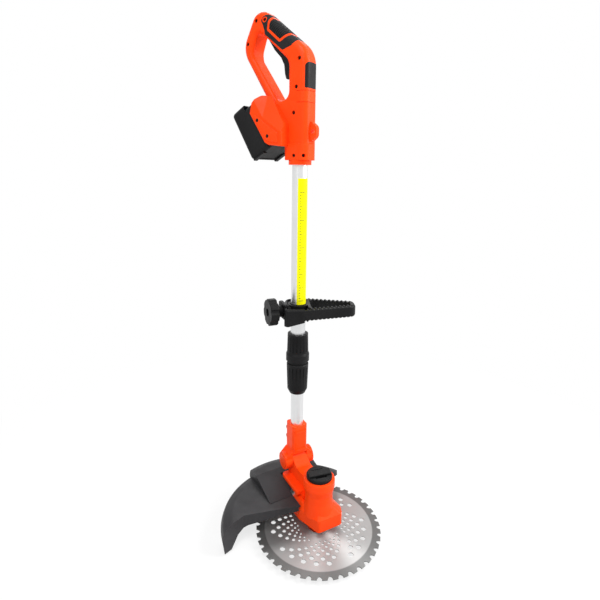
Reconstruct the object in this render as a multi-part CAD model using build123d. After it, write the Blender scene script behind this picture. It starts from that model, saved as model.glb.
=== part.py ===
"""Cordless grass trimmer with a toothed disc blade, one solid per piece, in millimetres.

+Z is up and the origin lies on the blade's axis at floor level. The shaft stands upright
behind the blade, the handle looks along +X, and the cutting head and the front grip are
turned about the shaft by their own angles.
"""
import math
import os

from build123d import *

# Layout
SHAFT_BACK = 90.0
HEAD_TURN = -27.0
AUX_TURN = 39.0
HANDLE_BASE = 681.0
HINGE_HEIGHT = 98.0
AUX_HEIGHT = 404.0

# Clearances
RUN_CLEAR = 0.05
SLIDE_CLEAR = 0.3
SEAT_CLEAR = 0.05

# Shaft
TUBE_R = 14.0
TUBE_WALL = 1.3
INNER_TUBE_R = 12.3
INNER_TUBE_WALL = 1.2
TUBE_LOW = 302.0
TUBE_INSERT = 56.0
INNER_TUBE_TOP = 590.0
BUSH_LENGTH = 30.0
BUSH_WALL = 2.0
LABEL_LOW = 416.0
LABEL_HIGH = 649.0
LABEL_HALF_ANGLE = 68.0
LABEL_THICK = 0.2
LEAD_R = 7.0
PLUG_LENGTH = 8.0

# Telescopic lock
LOCK_TOP = 357.0
LOCK_BAND_HIGH = 319.0
LOCK_BAND_LOW = 303.0
LOCK_SPLIT = 298.0
LOCK_LOW = 238.0
LOCK_TOP_R = 19.5
LOCK_MID_R = 20.4
LOCK_BAND_R = 22.2
NUT_TOP_R = 21.0
NUT_LOW_R = 19.3
LOCK_GROOVES = 18
LOCK_GROOVE_R = 1.1
LOCK_LIP = 4.0
COLLET_R = 16.4
COLLET_HEIGHT = 34.0
COLLET_SLOTS = 4

# Handle, with heights counted from its foot
HANDLE_HALF = 19.0
HANDLE_ROUND = 12.0
LOOP_ROUND = 7.0
HANDLE_WALL = 3.0
COLUMN_FRONT = 24.0
COLUMN_BACK = -21.0
FLANGE_HEIGHT = 29.0
FLANGE_STEP = 1.2
COLLAR_R = 20.5
COLLAR_HEIGHT = 8.0
GRIP_SKIN = 1.5
INLAY_WIDTH = 4.2
PAD_GROOVE = 1.2
PAD_GROOVE_DEPTH = 0.7
PAD_GROOVE_PITCH = 4.0
SKIN_WINDOW = (-67, 243)
SKIN_WINDOW_R = 4.8
PANEL_LOW = 121.0
PANEL_HIGH = 164.0
PANEL_HALF = 16.5
PANEL_ROUND = 8.0
PANEL_THICK = 1.6
GROOVE_HEIGHTS = (98.0, 117.0)
GROOVE_SIZE = 1.0
EYELET_RISE = 49.0
EYELET_R = 17.0
EYELET_REACH = 12.5
EYELET_HALF = 4.5
EYELET_HOLE_R = 4.0
EYELET_HOLE_OUT = 5.5
HANDLE_SCREWS = ((9, 170), (3, 124), (-86, 244), (-106, 207), (-2, 81), (-67, 243))
SCREW_R = 1.6
SCREW_HEAD_R = 3.2
SCREW_HEAD = 2.4
SCREW_SINK = 3.0
SCREW_LENGTH = 24.0
TUBE_SCREW_TURNS = (-90.0, -41.0)
TUBE_SCREW_RISE = 8.0
BOSS_R = 4.6

# Outlines of the handle in its own plane, forward and up, with a rounding for each corner
LOOP_OUTER = ((24, -41), (24, 182), (-86, 272), (-124, 199), (-40, 69), (-21, 34), (-21, -41))
LOOP_OUTER_R = (1, 48, 22, 40, 20, 10, 1)
LOOP_INNER = ((-84.5, 229.5), (-99, 189), (-15, 68), (-15, 169))
LOOP_INNER_R = (8, 25, 16, 25)
SKIN_OUTLINE = ((-66, 218), (-27, 187), (-8, 192), (0, 200), (14, 222), (-46, 294),
                (-60, 255), (-70, 249), (-75, 242), (-71, 235), (-67, 224))
SKIN_OUTLINE_R = (3, 3, 4, 4, 1, 1, 3, 3, 3, 3, 3)
INLAY_PATH = ((-46, 262), (-57, 238), (-59, 225), (-33, 203), (-21, 209), (2, 222))

# Trigger
TRIGGER_PIVOT = (-70.0, 229.0)
TRIGGER_HALF = 8.0
TRIGGER_BOSS_R = 5.5
TRIGGER_OUTLINE = ((-65, 211), (-52, 192), (-38, 178), (-31, 165), (-29, 149), (-26, 140),
                   (-13, 141), (-11, 168), (-28, 189), (-61, 227), (-71, 227))
TRIGGER_OUTLINE_R = (3, 12, 12, 10, 6, 3, 3, 8, 10, 3, 3)
TRIGGER_ROOM = ((-78, 239), (-78, 204), (-34, 159), (-30, 134), (0, 134), (0, 177), (-20, 199), (-60, 239))
TRIGGER_PIN_R = 2.0
TRIGGER_SPRING_WIRE = 0.9
SWITCH_SIZE = (14.0, 10.0)
SWITCH_AT = (-30.0, 208.0)
BOARD_THICK = 1.6
BOARD_X = 6.0
BOARD_LOW = 64.0
BOARD_HIGH = 118.0

# Battery bay, with the bevel that runs from its side up to the handle
BAY_HALF = 41.0
BAY_ROUND = 2.0
BAY_OUTLINE = ((-84, 82), (-80, 100), (-66, 113), (-50, 113), (-12, 61), (-12, 23), (-41, 26), (-49, 30))
BAY_OUTLINE_R = (3, 4, 6, 10, 10, 3, 6, 3)
BAY_CREASES = (((-53, 73), (-22, 53)), ((-74, 104), (-50, 68)))
BAY_BEVELS = ((3, 21, 40), (18, 21, 12))
BAY_PLATE = ((-77, 81), (-62, 74), (-50, 65), (-20, 46), (-18, 29), (-40, 32), (-48, 36))
BAY_PLATE_ROUND = 2.0
BAY_PLATE_RISE = 1.2
BAY_SCREWS = ((-65, 69), (-42, 41))

# Battery, with depths counted down from its top face, which slides in the bay
SLIDE_LEAN = 31.0
SLIDE_AT = (-52.77, 72.79)
BATTERY_LENGTH = 97.4
BATTERY_HALF = 37.5
BATTERY_ROUND = 8.0
BATTERY_WALL = 1.9
LID_DEEP = 32.0
LID_SETBACK = 9.0
CASE_DEEP = 32.0
RAIL_DROP = 12.0
RAIL_TALL = 6.0
RAIL_DEPTH = 4.0
CELL_R = 9.1
CELL_LENGTH = 65.0
CELL_COUNT = 5
CELL_LIFT = 1.2
TERMINAL_LENGTH = 26.0
TERMINAL_HALF = 16.0
TERMINAL_DROP = 9.0
BLADE_TAB = 1.0
BLADE_TAB_LENGTH = 14.0
BUTTON_HALF = 13.0
BUTTON_TALL = 12.0
BUTTON_DEEP = 8.0
BUTTON_TRAVEL = 4.0
BATTERY_RIB_AT = 30.5
BATTERY_RIB_HALF = 4.5
BATTERY_RIB_RISE = 1.8
BATTERY_PANEL_SINK = 1.0

# Front grip
AUX_BAND = 23.0
AUX_LINER = 1.4
AUX_OUTER = ((-28, -43), (6, -42), (108, -17), (108, 17), (4, 43), (-24, 30))
AUX_OUTER_R = (8, 26, 15, 15, 26, 12)
AUX_INNER = ((22, -30), (99, -10), (99, 10), (22, 30))
AUX_INNER_R = (8, 8, 8, 8)
AUX_ROUND = 5.0
AUX_NOTCHES = 12
AUX_NOTCH_R = 2.6
AUX_NOTCH_SPAN = (0.06, 0.9)
AUX_HUB_DROP = 9.0
AUX_HUB_SLOPE = (-20, 16)
AUX_RIM = 4.5
AUX_POCKET = 8.0
AUX_POCKET_FRONT = 17.0
JAW_LOW = (-16, -17, 25)
JAW_HIGH = (14, 17, 34)
JAW_ROUND = 3.0
KNOB_TURN = 198.0
KNOB_R = 25.0
KNOB_LOBES = 7
KNOB_THICK = 16.0
KNOB_AT = 53.0
KNOB_SCREW_R = 4.0
PAD_THICK = 3.2
PAD_HALF = 7.0

# Head socket and hinge
SOCKET_HALF = 16.0
SOCKET_ROUND = 6.0
SOCKET_TOP = 172.0
SOCKET_DEPTH = 46.0
SOCKET_LIP = 1.6
LUG_R = 4.6
LUG_HALF = 13.0
LUG_DROPS = (16.0, 34.0)
HINGE_R = 16.5
KNUCKLE_HALF = 15.0
EAR_GAP = 0.4
EAR_HALF = 30.0
YOKE_SHOULDER = 8.0
YOKE_TOP = 22.0
HINGE_PIN_R = 4.0
BUTTON_CAP_R = 13.0
PIVOT_TRAVEL = 4.0

# Head
BASE_LOW = 24.0
BASE_HIGH = 45.0
BASE_OUTLINE = ((31, -18), (31, 31), (16, 38), (-44, 34), (-54, 26),
                (-54, -26), (-44, -34), (-16, -33), (2, -27))
BASE_OUTLINE_R = (6, 7, 8, 9, 9, 9, 9, 8, 10)
BASE_WALL = 3.0
NOSE_LIP = 2.5
NOSE_RISE = 12.0
NOSE_OUTLINE = ((19, -10), (19, 19), (9, 24), (-40, 28), (-48, 22),
                (-48, -22), (-40, -28), (-16, -27), (0, -20))
NOSE_OUTLINE_R = (4, 5, 6, 8, 8, 8, 8, 7, 8)
WEB_BACK = -48.0
WEB_FRONT = -20.0
WEB_HALF = 22.0
TOWER_R = 28.7
TOWER_TOP = 112.0
TOWER_RIM = 14.0
WAIST_R = 25.0
WAIST_LOW = 70.0
WAIST_HIGH = 84.0
TOWER_WALL = 2.6
NECK_TOP = 96.0
PLATE_HALF = 31.0
PLATE_BACK = -94.0
PLATE_FRONT = -28.0
PLATE_LOW = 65.0
PLATE_HIGH = 71.0
CAP_R = 23.5
CAP_TOP = 121.0
CAP_RIM = 3.0
CAP_TURN = 80.0
CAP_BAR_HALF = 8.0
CAP_SLOT = 4.4
CAP_SLOT_HALF = 11.0
HEAD_SCREW_SPOTS = ((22, -15), (22, 24), (-42, -25), (-42, 25))
HEAD_SCREW_RISE = 5.0

# Drive
MOTOR_R = 21.0
MOTOR_LOW = 51.0
MOTOR_HIGH = 104.0
MOTOR_WALL = 1.5
ROTOR_R = 15.5
MOTOR_SHAFT_R = 2.5
GEAR_MODULE = 0.8
SUN_TEETH = 12
PLANET_TEETH = 18
PLANETS = 3
GEAR_LOW = 39.0
GEAR_HIGH = 45.0
TOOTH_TIP = 0.6
TOOTH_ROOT = 0.95
TOOTH_SHARE = 0.38
RING_WALL = 4.0
CARRIER_R = 17.0
CARRIER_THICK = 3.0
PLANET_PIN_R = 2.0
SPINDLE_R = 5.0
BEARING_R = 13.0
BEARING_HEIGHT = 7.0
BOSS_DROP = 7.0
BOSS_WALL = 4.0

# Blade
BLADE_R = 115.0
BLADE_THICK = 1.8
BLADE_LOW = 9.2
BLADE_BORE_R = 12.7
TEETH = 40
GULLET_DEPTH = 7.0
TOOTH_TOP = 0.5
HOLE_GROUPS = 4
HOLE_ROWS = 5
HOLES_IN_ROW = 7
HOLE_R_FIRST = 2.0
HOLE_R_LAST = 4.6
HOLE_START = 38.0
HOLE_END = 84.0
HOLE_SWEEP = -8.6
HOLE_ROW_STEP = 15.2
HOLE_PHASE = 63.6
FLANGE_R = 21.0
FLANGE_THICK = 3.0
CUP_R = 18.0
CUP_WALL = 2.0
NUT_R = 9.5

# Guard
GUARD_CENTRE = (-2.0, -33.0)
GUARD_WALL = 3.0
GUARD_PROFILE = ((0, 58), (128, 54), (143, 48), (147, 36), (142, 4))
GUARD_PROFILE_R = (20, 9, 12)
GUARD_PLAN = ((-56, 33), (-57, 74), (-90, 100), (-190, 150), (-190, -215), (-8, -215), (-37, -133),
              (-10, -36), (-10, -33), (-52, -33), (-57, -27), (-57, 27), (-52, 33))
GUARD_FRONT = ((-10, -36), (-37, -133), (-8, -215))
GUARD_FRONT_LOW = ((0, 48), (-36, 47), (-70, 44), (-100, 38), (-125, 34), (-145, 25), (-160, 4), (-230, 4))
GUARD_SKIRT = ((-200, 46), (-98, 46), (-50, 5), (60, 5))
GUARD_FAR_LOW = 35.0
RAISE_LOW = -80.0
RAISE_HIGH = 46.0
RAISE_STEP = 16.0
HUMP_START = -40.0
HUMP_SLOPE = 0.2
PLATE_ROOM = 1.5
GUARD_SCREW_SPOTS = ((-76, -18), (-76, 18))


# Helpers
def ring(outer, inner, low, high):
    """Upright hollow cylinder about Z."""
    body = Cylinder(outer, high - low) - Cylinder(inner, high - low)
    return Pos(0, 0, (low + high) / 2) * body


def rod(radius, low, high):
    """Upright cylinder about Z."""
    return Pos(0, 0, (low + high) / 2) * Cylinder(radius, high - low)


def cross_rod(radius, x, z, low, high):
    """Cylinder along Y between two stations."""
    return Pos(x, (low + high) / 2, z) * Rot(90, 0, 0) * Cylinder(radius, high - low)


def rounded_face(points, radii):
    """Closed outline with its own rounding at each corner."""
    return make_face(FilletPolyline(*points, radius=list(radii), close=True))


def side_plate(points, radii, half):
    """Outline in the XZ plane, thickened to both sides of it."""
    return extrude(Plane.XZ * rounded_face(points, radii), half, both=True)


def top_plate(points, radii, low, high):
    """Outline in the XY plane, raised between two heights."""
    return extrude(Pos(0, 0, low) * rounded_face(points, radii), high - low)


def block(low, high):
    """Box between two corners."""
    size = [b - a for a, b in zip(low, high)]
    middle = [(a + b) / 2 for a, b in zip(low, high)]
    return Pos(*middle) * Box(*size)


def turned(points):
    """Solid of revolution about Z from a closed outline of radius and height."""
    return revolve(Plane.XZ * make_face(Polyline(*points, close=True)), Axis.Z)


def polar(radius, degrees):
    """Point on a circle about the origin."""
    angle = math.radians(degrees)
    return (radius * math.cos(angle), radius * math.sin(angle))


def around(solid, count):
    """Copies of a solid spaced evenly about Z."""
    return [Rot(0, 0, 360 * i / count) * solid for i in range(count)]


def joined(solids):
    """One shape from several solids."""
    return Part() + list(solids)


shaft_x, shaft_y = polar(-SHAFT_BACK, HEAD_TURN)
SHAFT = Pos(shaft_x, shaft_y, 0)
HEAD = Rot(0, 0, HEAD_TURN)
HANDLE = Pos(shaft_x, shaft_y, HANDLE_BASE)
AUX = Pos(shaft_x, shaft_y, AUX_HEIGHT) * Rot(0, 0, AUX_TURN)
pieces = {}


def keep(name, solid, place):
    """File a piece under its name, moved to its place in the whole."""
    pieces[name] = place * solid


# Shaft tubes
tube_top = HANDLE_BASE + TUBE_INSERT
tube_bore = TUBE_R - TUBE_WALL
keep("upper_tube", ring(TUBE_R, tube_bore, TUBE_LOW, tube_top), SHAFT)

label_fan = Polyline((0, 0), polar(60, -LABEL_HALF_ANGLE), (60, 0), polar(60, LABEL_HALF_ANGLE), close=True)
label_wedge = extrude(make_face(label_fan), tube_top)
label_in = TUBE_R + SEAT_CLEAR
keep("scale_label", ring(label_in + LABEL_THICK, label_in, LABEL_LOW, LABEL_HIGH) & label_wedge, SHAFT)

inner_low = SOCKET_TOP - SOCKET_DEPTH
bush_low = INNER_TUBE_TOP
inner_bore = INNER_TUBE_R - INNER_TUBE_WALL
lower_tube = ring(INNER_TUBE_R, inner_bore, inner_low, INNER_TUBE_TOP)
keep("lower_tube", lower_tube, SHAFT)

spigot_r = inner_bore - RUN_CLEAR
bush_r = tube_bore - RUN_CLEAR
bush = ring(bush_r, spigot_r - BUSH_WALL, bush_low + RUN_CLEAR, bush_low + BUSH_LENGTH)
bush += ring(spigot_r, spigot_r - BUSH_WALL, bush_low - BUSH_LENGTH / 2, bush_low + BUSH_LENGTH / 2)
keep("guide_bush", bush, SHAFT)

lead_low = bush_low + BUSH_LENGTH
lead_high = tube_top - PLUG_LENGTH
keep("coiled_lead", ring(LEAD_R, LEAD_R - 3, lead_low, lead_high), SHAFT)
keep("lead_grommet", ring(tube_bore - SEAT_CLEAR, LEAD_R - 3, lead_high, tube_top), SHAFT)

# Telescopic lock
sleeve_bore = TUBE_R + SEAT_CLEAR
sleeve = turned((
    (sleeve_bore, LOCK_TOP), (LOCK_TOP_R, LOCK_TOP), (LOCK_MID_R, LOCK_BAND_HIGH + 2),
    (LOCK_BAND_R, LOCK_BAND_HIGH - 2), (LOCK_BAND_R, LOCK_BAND_LOW + 1), (LOCK_BAND_R - 1, LOCK_BAND_LOW),
    (LOCK_MID_R - 2, LOCK_BAND_LOW), (LOCK_MID_R - 2, LOCK_SPLIT), (sleeve_bore, LOCK_SPLIT)))
groove_low = LOCK_BAND_HIGH + 5
groove = Pos(LOCK_MID_R, 0, (LOCK_TOP - LOCK_LIP + groove_low) / 2) * Cylinder(
    LOCK_GROOVE_R, LOCK_TOP - LOCK_LIP - groove_low)
sleeve -= joined(around(groove, LOCK_GROOVES))
keep("lock_sleeve", sleeve, SHAFT)

collet_top = TUBE_LOW
collet = ring(COLLET_R, INNER_TUBE_R + RUN_CLEAR * 2, collet_top - COLLET_HEIGHT, collet_top)
slot_cut = block((0, -1, collet_top - COLLET_HEIGHT), (COLLET_R + 1, 1, collet_top - COLLET_HEIGHT / 3))
collet -= joined(around(slot_cut, COLLET_SLOTS))
collet -= ring(COLLET_R + 1, sleeve_bore - SEAT_CLEAR * 2, LOCK_SPLIT, collet_top + 1)
keep("lock_collet", collet, SHAFT)

nut_top = LOCK_SPLIT - RUN_CLEAR
nut_bore = COLLET_R + SLIDE_CLEAR
nut_neck = INNER_TUBE_R + SLIDE_CLEAR
nut_floor = collet_top - COLLET_HEIGHT - 2
nut = turned((
    (nut_bore, nut_top), (NUT_TOP_R - 1, nut_top), (NUT_TOP_R, nut_top - 1.5), (NUT_LOW_R, LOCK_LOW + 8),
    (NUT_LOW_R - 4, LOCK_LOW), (nut_neck, LOCK_LOW), (nut_neck, nut_floor), (nut_bore, nut_floor)))
nut_groove_high = nut_top - 6
nut_groove_low = LOCK_LOW + 12
nut_groove = Pos(NUT_TOP_R - 0.6, 0, (nut_groove_high + nut_groove_low) / 2) * Cylinder(
    LOCK_GROOVE_R, nut_groove_high - nut_groove_low)
nut -= joined(around(nut_groove, LOCK_GROOVES))
keep("lock_nut", nut, SHAFT)

# Handle shells, worked as one body and parted at the middle plane
def loop_body(inset):
    """Closed handle loop with its column, shrunk all round by an inset."""
    outer = Plane.XZ * offset(rounded_face(LOOP_OUTER, LOOP_OUTER_R), -inset)
    body = extrude(outer, HANDLE_HALF - inset, both=True)
    body = fillet(body.faces().filter_by(Axis.Y).edges(), HANDLE_ROUND - inset)
    inner = Plane.XZ * offset(rounded_face(LOOP_INNER, LOOP_INNER_R), inset)
    body -= extrude(inner, HANDLE_HALF * 2, both=True)
    return body


SLIDE = Pos(SLIDE_AT[0], 0, SLIDE_AT[1]) * Rot(0, 90 - SLIDE_LEAN, 0)


def slide_box(along_low, along_high, across_low, across_high, half):
    """Box on the battery's slide: along it, across it and to both sides."""
    return SLIDE * block((along_low, -half, across_low), (along_high, half, across_high))


loop = loop_body(0)
side_wires = loop.faces().filter_by(Axis.Y).wires()
gap_wires = side_wires.filter_by(lambda wire: wire.bounding_box().size.Z < LOOP_OUTER[2][1])
loop = fillet(gap_wires.edges(), LOOP_ROUND)
loop -= block((-200, -80, -200), (200, 80, 0))

flange_half = HANDLE_HALF + FLANGE_STEP
flange_front = COLUMN_FRONT + FLANGE_STEP
flange_back = COLUMN_BACK - FLANGE_STEP
flange_points = (
    (flange_back, -flange_half), (flange_front, -flange_half),
    (flange_front, flange_half), (flange_back, flange_half))
flange = top_plate(flange_points, (6, 16, 16, 6), 0, FLANGE_HEIGHT)
flange = chamfer(flange.faces().filter_by(Axis.Z).edges(), FLANGE_STEP * 0.8)
collar = rod(COLLAR_R, -COLLAR_HEIGHT, 1)

bay = side_plate(BAY_OUTLINE, BAY_OUTLINE_R, BAY_HALF)
bay = fillet(bay.faces().filter_by(Axis.Y).edges(), BAY_ROUND)
for side in (-1, 1):
    scoop = Box(600, 400, 600)
    for ((x0, z0), (x1, z1)), (bevel_x, bevel_y, bevel_z) in zip(BAY_CREASES, BAY_BEVELS):
        along_crease = Vector(x1 - x0, 0, z1 - z0)
        up_bevel = Vector(bevel_x, -side * bevel_y, bevel_z)
        out_of_bevel = up_bevel.cross(along_crease) * side
        bevel_plane = Plane((x0, side * BAY_HALF, z0), along_crease, out_of_bevel)
        scoop &= bevel_plane * Pos(0, 0, 100) * Box(400, 400, 200)
    bay -= scoop
bay_plate = side_plate(BAY_PLATE, (BAY_PLATE_ROUND,) * len(BAY_PLATE), BAY_HALF + BAY_PLATE_RISE)
bay += chamfer(bay_plate.faces().filter_by(Axis.Y).edges(), BAY_PLATE_RISE * 0.7)

eyelet_points = (
    (0, EYELET_RISE - EYELET_R), (COLUMN_FRONT + 2, EYELET_RISE - EYELET_R),
    (COLUMN_FRONT + EYELET_REACH, EYELET_RISE - EYELET_R / 2),
    (COLUMN_FRONT + EYELET_REACH, EYELET_RISE + EYELET_R / 2),
    (COLUMN_FRONT + 2, EYELET_RISE + EYELET_R), (0, EYELET_RISE + EYELET_R))
eyelet = side_plate(eyelet_points, (1, 6, 9, 9, 6, 1), EYELET_HALF)

shell = loop + flange + collar + bay + eyelet

cavity_room = block((-78, -50, TUBE_INSERT + 1), (60, 50, 300))
cavity = loop_body(HANDLE_WALL) & cavity_room
boss_cuts = joined(cross_rod(BOSS_R, x, z, -HANDLE_HALF, HANDLE_HALF) for x, z in HANDLE_SCREWS)
shell -= cavity - boss_cuts
shell -= rod(TUBE_R + SEAT_CLEAR, -100, TUBE_INSERT + 1)
shell -= cross_rod(EYELET_HOLE_R, COLUMN_FRONT + EYELET_HOLE_OUT, EYELET_RISE, -50, 50)

battery_start = -BATTERY_LENGTH / 2
battery_end = BATTERY_LENGTH / 2
battery_split = -LID_DEEP
battery_low = battery_split - CASE_DEEP
rail_high = -RAIL_DROP
rail_low = rail_high - RAIL_TALL
slot_half = BATTERY_HALF + SLIDE_CLEAR
shell -= slide_box(battery_start - 40, battery_end + 1, battery_low - 20, SLIDE_CLEAR, slot_half)
rails = slide_box(battery_start, battery_end, rail_low + SLIDE_CLEAR, rail_high - SLIDE_CLEAR, BAY_HALF - 1)
rails -= slide_box(battery_start - 1, battery_end + 1, rail_low, rail_high, slot_half - RAIL_DEPTH)
shell += rails & bay

skin = (loop_body(0) - loop_body(GRIP_SKIN)) & side_plate(SKIN_OUTLINE, SKIN_OUTLINE_R, HANDLE_HALF * 2)
inlay_line = FilletPolyline(*INLAY_PATH, radius=3)
inlay_face = Plane.XZ * make_face(offset(inlay_line, INLAY_WIDTH / 2, side=Side.BOTH))
skin -= extrude(inlay_face, HANDLE_HALF * 2, both=True)
skin -= cross_rod(SKIN_WINDOW_R, *SKIN_WINDOW, -HANDLE_HALF * 2, HANDLE_HALF * 2)
shell -= skin
skin_parts = skin.solids().sort_by(SortBy.VOLUME)
pad = skin_parts[-2]
(crest_x, crest_z), (top_x, top_z) = LOOP_OUTER[1], LOOP_OUTER[2]
grip_lean = math.degrees(math.atan2(top_z - crest_z, crest_x - top_x))
grip_span = math.hypot(top_x - crest_x, top_z - crest_z)
groove_slabs = []
for i in range(int(grip_span / PAD_GROOVE_PITCH)):
    slab = Pos(-i * PAD_GROOVE_PITCH, 0, 0) * Box(PAD_GROOVE, HANDLE_HALF * 3, HANDLE_HALF * 5)
    groove_slabs.append(Pos(crest_x, 0, crest_z) * Rot(0, grip_lean, 0) * slab)
pad -= (loop_body(0) - loop_body(PAD_GROOVE_DEPTH)) & joined(groove_slabs)
keep("grip_pad", pad.solids().sort_by(SortBy.VOLUME)[-1], HANDLE)
keep("grip_border", skin_parts[-1], HANDLE)

panel_points = (
    (-PANEL_HALF, PANEL_LOW), (PANEL_HALF, PANEL_LOW), (PANEL_HALF, PANEL_HIGH), (-PANEL_HALF, PANEL_HIGH))
panel_room = extrude(Plane.YZ * rounded_face(panel_points, (2, 2, PANEL_ROUND, PANEL_ROUND)), 60)
panel = (loop_body(0) - loop_body(PANEL_THICK)) & panel_room
shell -= panel
keep("front_panel", panel, HANDLE)

for height in GROOVE_HEIGHTS:
    band = block((4, -40, height - GROOVE_SIZE / 2), (60, 40, height + GROOVE_SIZE / 2))
    shell -= (loop_body(0) - loop_body(GROOVE_SIZE)) & band

pivot_x, pivot_z = TRIGGER_PIVOT
trigger_slot = side_plate(TRIGGER_ROOM, (3,) * len(TRIGGER_ROOM), TRIGGER_HALF + SLIDE_CLEAR)
shell -= trigger_slot
inner_half = HANDLE_HALF - HANDLE_WALL
boss_start = inner_half - 3
for side in (-1, 1):
    ends = sorted((side * boss_start, side * (inner_half + 1)))
    shell += cross_rod(BOSS_R, pivot_x, pivot_z, *ends)
pin_half = inner_half - 1
shell -= cross_rod(TRIGGER_PIN_R + SEAT_CLEAR, pivot_x, pivot_z, -pin_half, pin_half)
keep("trigger_pin", cross_rod(TRIGGER_PIN_R, pivot_x, pivot_z, -pin_half, pin_half), HANDLE)

def screw_head(x, z, low, high):
    """Flat head along Y with a cross recess in its low end."""
    recess = block((x - 2, low, z - 0.4), (x + 2, low + 1.2, z + 0.4))
    recess += block((x - 0.4, low, z - 2), (x + 0.4, low + 1.2, z + 2))
    return cross_rod(SCREW_HEAD_R, x, z, low, high) - recess


screw_head_y = -HANDLE_HALF + SCREW_SINK
screw_tip_y = screw_head_y + SCREW_LENGTH
screws = []
for x, z in HANDLE_SCREWS:
    shell -= cross_rod(SCREW_HEAD_R + SLIDE_CLEAR, x, z, -60, screw_head_y + SCREW_HEAD)
    shell -= cross_rod(SCREW_R + SEAT_CLEAR, x, z, screw_head_y, screw_tip_y + 1)
    head = screw_head(x, z, screw_head_y, screw_head_y + SCREW_HEAD)
    screws.append(head + cross_rod(SCREW_R, x, z, screw_head_y + SCREW_HEAD, screw_tip_y))
plate_y = -BAY_HALF - BAY_PLATE_RISE
for x, z in BAY_SCREWS:
    seat_y = plate_y + SCREW_HEAD
    shell -= cross_rod(SCREW_HEAD_R + SEAT_CLEAR, x, z, -60, seat_y)
    screws.append(screw_head(x, z, plate_y + 0.6, seat_y - SEAT_CLEAR))
keep("handle_screws", joined(screws), HANDLE)
set_screws = []
for turn in TUBE_SCREW_TURNS:
    spot = Pos(0, 0, TUBE_SCREW_RISE) * Rot(0, 0, turn) * Rot(0, 90, 0)
    shell -= spot * rod(SCREW_HEAD_R + SEAT_CLEAR, TUBE_R, HANDLE_HALF * 2)
    set_screw = rod(SCREW_HEAD_R, TUBE_R + SEAT_CLEAR, HANDLE_HALF - 1)
    set_screw -= extrude(Pos(0, 0, HANDLE_HALF - 3) * RegularPolygon(SCREW_R, 6), 4)
    set_screws.append(spot * set_screw)
keep("tube_screws", joined(set_screws), HANDLE)

near_half = block((-300, -100, -200), (300, 0, 400))
far_half = block((-300, 0, -200), (300, 100, 400))
keep("handle_shell_left", (shell & near_half).solids().sort_by(SortBy.VOLUME)[-1], HANDLE)
keep("handle_shell_right", (shell & far_half).solids().sort_by(SortBy.VOLUME)[-1], HANDLE)

# Trigger and what it works on
trigger = side_plate(TRIGGER_OUTLINE, TRIGGER_OUTLINE_R, TRIGGER_HALF)
trigger += cross_rod(TRIGGER_BOSS_R, pivot_x, pivot_z, -TRIGGER_HALF, TRIGGER_HALF)
trigger -= cross_rod(TRIGGER_PIN_R + RUN_CLEAR, pivot_x, pivot_z, -TRIGGER_HALF * 2, TRIGGER_HALF * 2)
keep("trigger", trigger, HANDLE)

coil_r = TRIGGER_PIN_R + TRIGGER_SPRING_WIRE
coils = [
    Pos(pivot_x, TRIGGER_HALF + 1.2 + i * TRIGGER_SPRING_WIRE * 1.1, pivot_z) * Rot(90, 0, 0)
    * Torus(coil_r, TRIGGER_SPRING_WIRE / 2) for i in range(4)]
keep("trigger_spring", joined(coils), HANDLE)

switch_x, switch_z = SWITCH_AT
switch_long, switch_tall = SWITCH_SIZE
switch = Pos(switch_x, 0, switch_z) * Rot(0, 40, 0) * Box(switch_long, (inner_half - 0.2) * 2, switch_tall)
keep("micro_switch", switch, HANDLE)

board_half = inner_half - 0.2
board_front = BOARD_X + BOARD_THICK
board = block((BOARD_X, -board_half, BOARD_LOW), (board_front, board_half, BOARD_HIGH))
board += block((board_front, -8, BOARD_LOW + 8), (BOARD_X + 5, 8, BOARD_LOW + 26))
keep("control_board", board, HANDLE)

# Battery contacts in the bay
terminal_end = battery_end - 3
terminal_start = terminal_end - TERMINAL_LENGTH
terminal_low = SLIDE_CLEAR - TERMINAL_DROP
terminal = slide_box(terminal_start, terminal_end, terminal_low, SLIDE_CLEAR, TERMINAL_HALF)
keep("terminal_block", terminal, HANDLE)
tab_low = terminal_low + 2
tab_high = SLIDE_CLEAR - 2
tab_start = terminal_start - BLADE_TAB_LENGTH
tab_half = BLADE_TAB / 2
tab_spread = TERMINAL_HALF / 2
tab = slide_box(tab_start, terminal_start, tab_low, tab_high, tab_half)
keep("contact_tabs", joined(Pos(0, side * tab_spread, 0) * tab for side in (-1, 1)), HANDLE)

# Battery
across_axis = Axis((0, 0, 0), (math.cos(math.radians(SLIDE_LEAN)), 0, math.sin(math.radians(SLIDE_LEAN))))


def case_solid(shrink, high):
    """Lower body of the battery with rounded corners, shrunk all round."""
    low = battery_low + shrink
    box = slide_box(battery_start + shrink, battery_end - shrink, low, high, BATTERY_HALF - shrink)
    box = fillet(box.edges().filter_by(across_axis), BATTERY_ROUND - shrink)
    return fillet(box.faces().sort_by(across_axis)[0].edges(), BATTERY_ROUND - shrink)


case = case_solid(0, battery_split) - case_solid(BATTERY_WALL, battery_split + 1)
panel_half = BATTERY_RIB_AT - BATTERY_RIB_HALF - 2
case -= slide_box(battery_end - BATTERY_PANEL_SINK, battery_end + 1,
                  battery_low + BATTERY_ROUND, battery_split - 3, panel_half)
rib_low = battery_low + BATTERY_ROUND / 2
for side in (-1, 1):
    rib = slide_box(battery_end - BATTERY_WALL + 0.5, battery_end + BATTERY_RIB_RISE,
                    rib_low, battery_split - 1, BATTERY_RIB_HALF)
    case += Pos(0, side * BATTERY_RIB_AT, 0) * rib - case_solid(BATTERY_WALL, battery_split + 1)
keep("battery_case", case, HANDLE)

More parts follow.
